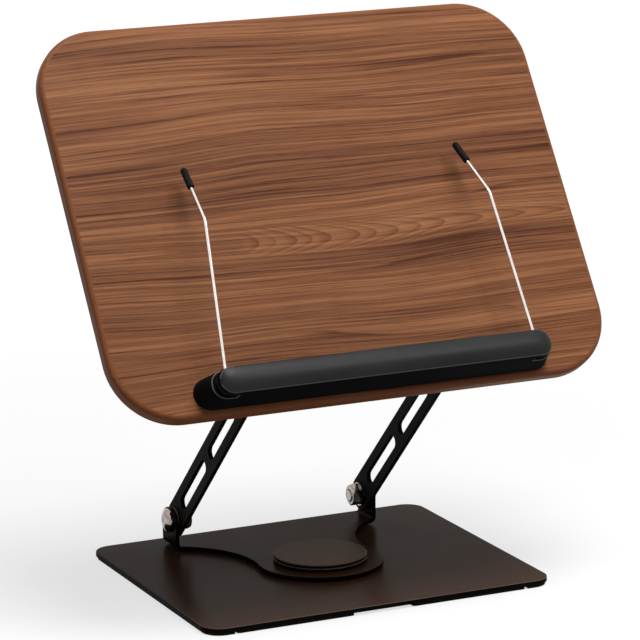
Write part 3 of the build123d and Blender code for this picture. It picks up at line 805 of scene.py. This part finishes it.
def make_ledge(ledge, materials):
    """A tapered slot-shaped moulding whose front is crowned from its lower to its upper edge and
    rounds back at its ends, with a slot at each end for a page clip."""
    crest_height = ledge.height - ledge.top_draft
    curve = (crest_height ** 2 / 4 + ledge.crown ** 2) / (2 * ledge.crown)
    share = (ledge.depth - ledge.crown) / ledge.depth
    half_length = ledge.length / 2 - ledge.end_draft * share
    half_height = ledge.height / 2 - ledge.top_draft / 2 * share
    middle = ledge.rise + half_height
    root = ledge_outline(ledge.length / 2, ledge.height / 2, ledge.rise + ledge.height / 2)
    outline = ledge_outline(half_length, half_height, middle)

    def level(x, y):
        """How far the front stands out at a point."""
        off = min(abs(y - middle), curve)
        crown = curve - math.sqrt(curve ** 2 - off ** 2)
        past = (abs(x) - half_length + ledge.end_reach) / ledge.end_reach
        past = min(max(past, 0.0), 1.0)
        end = ledge.end_drop * (1 - math.sqrt(1 - past ** 2))
        return ledge.depth - crown - end

    body = bmesh.new()
    rings = [[body.verts.new((*edge, 0.0)) for edge, centre in root]]
    for inset in INSETS + [half_height]:
        inward = inset / half_height
        ring = []
        for edge, centre in outline:
            x, y = (e + (c - e) * inward for e, c in zip(edge, centre))
            ring.append(body.verts.new((x, y, level(x, y))))
        rings.append(ring)
    count = len(root)
    for lower, upper in zip(rings, rings[1:]):
        for n in range(count):
            after = (n + 1) % count
            body.faces.new((lower[n], lower[after], upper[after], upper[n]))
    body.faces.new(rings[0])
    bmesh.ops.remove_doubles(body, verts=body.verts, dist=0.02 * MM)
    bmesh.ops.recalc_face_normals(body, faces=body.faces)
    piece = linked("ledge_moulding", mesh_of("ledge_moulding", body))
    # the slots are cut by two blocks that are thrown away afterwards
    blocks = bmesh.new()
    reach = ledge.length / 2 - ledge.slot_wall + 4 * PAST
    size = Matrix.Diagonal((reach, 3 * ledge.height, ledge.slot_width, 1))
    out = ledge.slot_from + ledge.slot_width / 2
    for side in (1, -1):
        place = Matrix.Translation((side * (ledge.slot_wall + reach / 2), ledge.rise, out))
        bmesh.ops.create_cube(blocks, size=1.0, matrix=place @ size)
    tool = linked("slots", mesh_of("slots", blocks))
    configured(
        piece.modifiers.new("slots", "BOOLEAN"), operation="DIFFERENCE", solver="EXACT", object=tool
    )
    configured(
        piece.modifiers.new("edges", "BEVEL"), width=ledge.edge, segments=2, limit_method="ANGLE",
        angle_limit=math.radians(30), material=1,
    )
    for material in materials:
        piece.data.materials.append(material)
    plain(piece, angle=40)
    mark_painted_highlights(piece.data, middle)
    waste = tool.data
    bpy.data.objects.remove(tool)
    bpy.data.meshes.remove(waste)
    on_board(piece.data)
    return piece


class BOOKSTAND_OT_ledge(Operator):
    """Mould the ledge with its crowned front and the slots for the clips"""

    bl_idname = "bookstand.ledge"
    bl_label = "Ledge"

    def execute(self, context):
        coats = context.scene.book_stand_coats
        front = coated("ledge_front", coats.moulding, roughness=0.36, specular=0.14, grain=0.25 * MM)
        # a painted highlight on the bevelled edges noted in the mesh's attribute
        worn = front.add("ShaderNodeAttribute", "Fac", attribute_name="worn")
        front.set("Base Color", front.mix(worn, front.colour(), coats.worn))
        # painted shade: the ledge's underside, ends and faces off its front take the moulding's colour
        # at 0.3
        shaded = toned(coats.moulding, 0.3)
        matt_shaded = coated("ledge_sides", shaded, roughness=0.8, specular=0.03, grain=0.25 * MM)
        ledge = make_ledge(context.scene.book_stand_ledge, (front.material, matt_shaded.material))
        fasten(ledge, "board", "ledge")
        return {"FINISHED"}


def bolt_shape(sizes, grip):
    """A bolt with a domed head, its underside at zero, and thread at the end of its shank."""
    shape = Shape(
        "hinge_bolt", head_radius=sizes.head_radius, head_height=sizes.head_height, rim=sizes.head_rim,
        shank_radius=sizes.shank_radius, length=grip, pitch=sizes.pitch,
        thread_length=sizes.thread_length, reach=0.0,
    )
    size = shape.sizes
    head = shape.dome(size["head_radius"], size["rim"], size["head_height"])
    tip = -size["length"]
    core = size["shank_radius"] - size["pitch"] * RIDGE
    threaded = tip + size["thread_length"]
    smooth_part = shape.cylinder(size["shank_radius"], threaded, LAP)
    threaded_part = shape.cylinder(core, tip, threaded + LAP)
    ridge = shape.thread(core, size["pitch"], tip + size["pitch"] * 0.5, threaded)
    shape.on_both_sides(shape.joined(head, smooth_part, threaded_part, ridge), size["reach"])
    return shape


NUT_FACE = 0.96              # circle that the chamfer leaves on a nut's end, as a share of its flats
NUT_CHAMFER = 1.6            # how fast the chamfer's cone widens, radius over depth
COLLAR_ROOT = 0.3            # where a collar starts inside its nut, as a share of the nut's height
COLLAR_CHAMFER = 0.6 * MM
RING_SUNK = 0.2 * MM         # a locking ring's end behind its collar's
RING_GRIP = 0.1 * MM         # how far a locking ring reaches into the thread


def nut_shape(sizes):
    """A lock nut: a hexagon from zero downwards with turned corners, and a collar with a recess."""
    shape = Shape(
        "lock_nut", flats=sizes.nut_flats, height=sizes.nut_height, collar_radius=sizes.collar_radius,
        collar_height=sizes.collar_height, bore_radius=sizes.shank_radius,
        ring_radius=sizes.ring_radius, reach=0.0,
    )
    size = shape.sizes
    low = -size["height"]
    below = low - PAST
    half = size["flats"] * 0.5
    face = half * NUT_FACE
    wide = face + (size["height"] + PAST) * NUT_CHAMFER
    hexagon = shape.cylinder(half / math.cos(math.radians(30)), below, PAST, sides=6)
    lower, upper = shape.cone(wide, face, below, 0.0), shape.cone(face, wide, low, PAST)
    turned = shape.both(hexagon, lower, upper)
    end = low - size["collar_height"]
    beyond = end - PAST
    inner = low + size["height"] * COLLAR_ROOT
    narrow = size["collar_radius"] - COLLAR_CHAMFER
    around = shape.cylinder(size["collar_radius"], beyond, inner + PAST)
    bevel = shape.cone(narrow, narrow + (inner - end), end, inner)
    bore = shape.cylinder(size["bore_radius"], beyond, PAST)
    recess = shape.cylinder(size["ring_radius"], beyond, low)
    nut = shape.cut(shape.fused(turned, shape.both(around, bevel)), bore, recess)
    shape.on_both_sides(nut, size["reach"])
    return shape


def ring_shape(sizes):
    """The nylon ring that sits in a lock nut's collar and grips the thread."""
    shape = Shape(
        "locking_ring", outer=sizes.ring_radius, inner=sizes.shank_radius, reach=0.0,
        low=-sizes.nut_height - sizes.collar_height + RING_SUNK, high=-sizes.nut_height,
    )
    size = shape.sizes
    bore = shape.cylinder(size["inner"] - RING_GRIP, size["low"] - PAST, PAST)
    ring = shape.cut(shape.cylinder(size["outer"], size["low"], size["high"]), bore)
    shape.on_both_sides(ring, size["reach"])
    return shape


SCREW_RIM = 0.3              # straight rim under a wood screw's dome, as a share of the head's height
CROSS_WIDTH = 0.26           # a cross recess's bars, as shares of the head's radius
CROSS_LENGTH = 1.1
SCREW_STRAIGHT = 0.7         # the part of a screw's shank that isn't its tip, as a share of its length
SCREW_TIP = 0.2 * MM         # radius of its tip, and how far the shank reaches into the head


def screw_shape(sizes):
    """Wood screws with domed heads and cross recesses, on a grid of two columns and three rows."""
    shape = Shape(
        "wood_screw", head_radius=sizes.screw_head_radius, head_height=sizes.screw_head_height,
        radius=sizes.screw_radius, length=sizes.screw_length, spread=sizes.screw_spread,
        row=sizes.screw_row,
    )
    size = shape.sizes
    crest = size["head_height"]
    blade, arm = size["head_radius"] * CROSS_WIDTH, size["head_radius"] * CROSS_LENGTH
    cross = shape.fused(shape.bar(arm, blade, crest), shape.bar(blade, arm, crest))
    dome = shape.dome(size["head_radius"], crest * SCREW_RIM, crest)
    head = shape.cut(dome, shape.moved(cross, shape.point(z=crest)))
    taper = size["length"] * -SCREW_STRAIGHT
    shank = shape.cylinder(size["radius"], taper, SCREW_TIP, sides=24)
    tip = shape.cone(SCREW_TIP, size["radius"], -size["length"], taper, sides=24)
    grid = shape.add("GeometryNodeMeshGrid", inputs={
        "Size X": size["spread"], "Size Y": size["row"] * 2.0, "Vertices X": 2, "Vertices Y": 3,
    })
    shape.repeated(shape.joined(head, shank, tip), grid)
    return shape


def on_pin(level):
    """A hinge pin's middle, the X of its head's underside and of its nuts' outer face, its length."""
    sizes = bpy.context.scene.book_stand_hardware
    pin = joint("arm_tilt" if level == "lower" else "board_tilt")[0]
    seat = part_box(f"{level}_hinge_bolts")[1].x - sizes.head_height
    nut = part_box(f"{level}_lock_nuts")[1].x
    tip = nut - sizes.nut_height - sizes.collar_height - sizes.bolt_end
    return (0.0, pin.y, pin.z), seat, nut, seat - tip


class BOOKSTAND_OT_hardware(Operator):
    """Make the hinge bolts, lock nuts and wood screws, and finish all the small hardware"""

    bl_idname = "bookstand.hardware"
    bl_label = "Hardware"

    def execute(self, context):
        coats = context.scene.book_stand_coats
        sizes = context.scene.book_stand_hardware
        steel = plated("bright_plate", coats.steel, roughness=0.16)
        nylon = soft("washer_nylon", coats.nylon, roughness=0.45)
        black = coated("screw_black", coats.screw, roughness=0.35, specular=0.3)
        wear(steel, "pivot_stud", "pivot_screw")
        # the clip pins' steel is darkened to a fifth: painted shade for their place in the ledge's
        # dark slots
        wear(plated("pin_steel", toned(coats.steel, 0.2), roughness=0.4), "clip_pins")
        wear(nylon, "lower_glide_washer", "upper_glide_washer")
        wear(black, "hub_screws", "bracket_screws", "ledge_screws")
        wear(plated("spring_blue", coats.spring, roughness=0.3), "disc_spring")
        for level, body in (("lower", "swivel"), ("upper", "board")):
            bolts, nuts = f"{level}_hinge_bolts", f"{level}_lock_nuts"
            wear(steel, bolts, nuts, f"{level}_nut_washers")
            wear(nylon, f"{level}_friction_washers")
            place, seat, nut, grip = on_pin(level)
            for name, shape, slot, replaced, finish, reach in (
                ("bolts", bolt_shape(sizes, grip), "bright_steel", bolts, steel, seat),
                ("nuts", nut_shape(sizes), "bright_steel", nuts, steel, nut),
                ("locking_rings", ring_shape(sizes), "nylon", None, nylon, nut),
            ):
                name = f"{level}_{name}"
                settle(name, shape, body, slot, replaced, finish, Place=place, reach=reach)
        back = BOARD_MIDDLE - BOARD_OUT * sizes.screw_depth
        back += BOARD_UP * (sizes.screw_rise - HALF_HEIGHT)
        settle(
            "bracket_wood_screws", screw_shape(sizes), "board", "black_screw", "bracket_screws", black,
            Place=tuple(back), Turn=(BOARD_TILT + math.pi, 0.0, 0.0),
        )
        return {"FINISHED"}


class BOOKSTAND_OT_clips(Operator):
    """Finish the page clips"""

    bl_idname = "bookstand.clips"
    bl_label = "Page clips"

    def execute(self, context):
        coats = context.scene.book_stand_coats
        # faint patches of plating's tint and painted reflection on the wire
        tint_and_reflection_patches = (0.9, 0.89, 0.88)
        nickel = plated("clip_nickel", coats.nickel, roughness=0.16, grain=0.8 * MM, tint_and_reflection_patches=tint_and_reflection_patches)
        rubber = soft("sleeve_rubber", coats.rubber, roughness=0.5, specular=0.06)
        wear(nickel, "left_clip_wire", "right_clip_wire")
        wear(rubber, "left_clip_sleeve", "right_clip_sleeve")
        return {"FINISHED"}


WHITE = (1.0, 1.0, 1.0, 1.0)
LAMP_AIM = Vector((0, 0, 0.18))     # about half the stand's height


def make_floor(studio, reach=6.0):
    """A wide pale floor that renders white away from the stand and keeps its shadow."""
    mesh = bpy.data.meshes.new("floor")
    corners = [(-reach, -reach, 0), (reach, -reach, 0), (reach, reach, 0), (-reach, reach, 0)]
    mesh.from_pydata(corners, [], [(0, 1, 2, 3)])
    floor = linked("floor", mesh)
    finish = Finish("floor", studio.floor, 0.9, specular=0.0)
    finish.set("Emission Color", WHITE)
    # it shines less near the stand, so that the shadow shows there
    away = finish.step(finish.vector("LENGTH", finish.place, output="Value"), 0.3, 1.5, 0.7, 0.95)
    finish.set("Emission Strength", finish.seen_directly() * away)
    mesh.materials.append(finish.material)


def make_world(studio):
    """An even pale room: white where it is seen, and dimmer as light on the stand."""
    world = bpy.data.worlds.new("room")
    world.use_nodes = True
    bpy.context.scene.world = world
    room = Graph(world.node_tree)
    seen = room.seen_directly()
    level = room.add("ShaderNodeMapRange", inputs={"Value": seen, "To Min": studio.sky})
    light = room.add("ShaderNodeBackground", inputs={"Color": WHITE, "Strength": level})
    room.node("ShaderNodeOutputWorld", {"Surface": light})


def direction(azimuth, elevation):
    """From the stand out to something at this turn from straight ahead and this height."""
    flat = math.cos(elevation)
    return Vector((math.sin(azimuth) * flat, -math.cos(azimuth) * flat, math.sin(elevation)))


def make_lamp(name, azimuth, elevation, distance, size, power):
    """A square soft box that looks at the middle of the stand, from a place in degrees and metres."""
    light = configured(bpy.data.lights.new(name, "AREA"), shape="SQUARE", size=size, energy=power)
    lamp = linked(name, light)
    back = direction(math.radians(azimuth), math.radians(elevation))
    lamp.location = LAMP_AIM + back * distance
    lamp.rotation_euler = back.to_track_quat("Z", "Y").to_euler()


def make_camera(studio):
    """The camera, as fitted to the photo."""
    optics = bpy.data.cameras.new("camera")
    camera = linked("camera", configured(optics, sensor_width=36.0, lens=studio.lens, clip_end=50.0))
    back = direction(studio.azimuth, studio.elevation)
    right = Vector((math.cos(studio.azimuth), math.sin(studio.azimuth), 0))
    axes = Matrix((right, back.cross(right), back)).transposed()
    turned = (axes @ Matrix.Rotation(studio.roll, 3, "Z")).to_4x4()
    place = Vector(studio.aim) + back * studio.distance
    camera.matrix_world = Matrix.Translation(place) @ turned
    bpy.context.scene.camera = camera


class BOOKSTAND_OT_studio(Operator):
    """Make the floor, the light and the camera"""

    bl_idname = "bookstand.studio"
    bl_label = "Studio"

    def execute(self, context):
        studio = context.scene.book_stand_studio
        make_floor(studio)
        make_world(studio)
        make_lamp("soft_box", azimuth=20, elevation=76, distance=2.0, size=0.9, power=studio.lamp)
        make_lamp("key_light", azimuth=40, elevation=48, distance=2.2, size=0.5, power=studio.front)
        make_camera(studio)
        context.scene.view_settings.view_transform = "Standard"
        return {"FINISHED"}


STEPS = (
    BOOKSTAND_OT_studio,
    BOOKSTAND_OT_board,
    BOOKSTAND_OT_plate,
    BOOKSTAND_OT_steelwork,
    BOOKSTAND_OT_ledge,
    BOOKSTAND_OT_hardware,
    BOOKSTAND_OT_clips,
)


class BOOKSTAND_PT_panel(Panel):
    """Lists the settings and the steps that finish the stand"""

    bl_idname = "BOOKSTAND_PT_panel"
    bl_label = "Book Stand"
    bl_space_type = "VIEW_3D"
    bl_region_type = "UI"
    bl_category = "Book Stand"

    def draw(self, context):
        for attribute, group in GROUPS.items():
            box = self.layout.box()
            settings = getattr(context.scene, attribute)
            for name in group.__annotations__:
                box.prop(settings, name)
        for step in STEPS:
            self.layout.operator(step.bl_idname)


def register():
    for group in GROUPS.values():
        bpy.utils.register_class(group)
    for attribute, group in GROUPS.items():
        setattr(Scene, attribute, PointerProperty(type=group))
    for step in STEPS:
        bpy.utils.register_class(step)
    bpy.utils.register_class(BOOKSTAND_PT_panel)


def unregister():
    bpy.utils.unregister_class(BOOKSTAND_PT_panel)
    for step in reversed(STEPS):
        bpy.utils.unregister_class(step)
    for attribute, group in reversed(GROUPS.items()):
        delattr(Scene, attribute)
        bpy.utils.unregister_class(group)


def main():
    register()
    for step in STEPS:
        family, name = step.bl_idname.split(".")
        getattr(getattr(bpy.ops, family), name)()


if __name__ == "__main__":
    main()
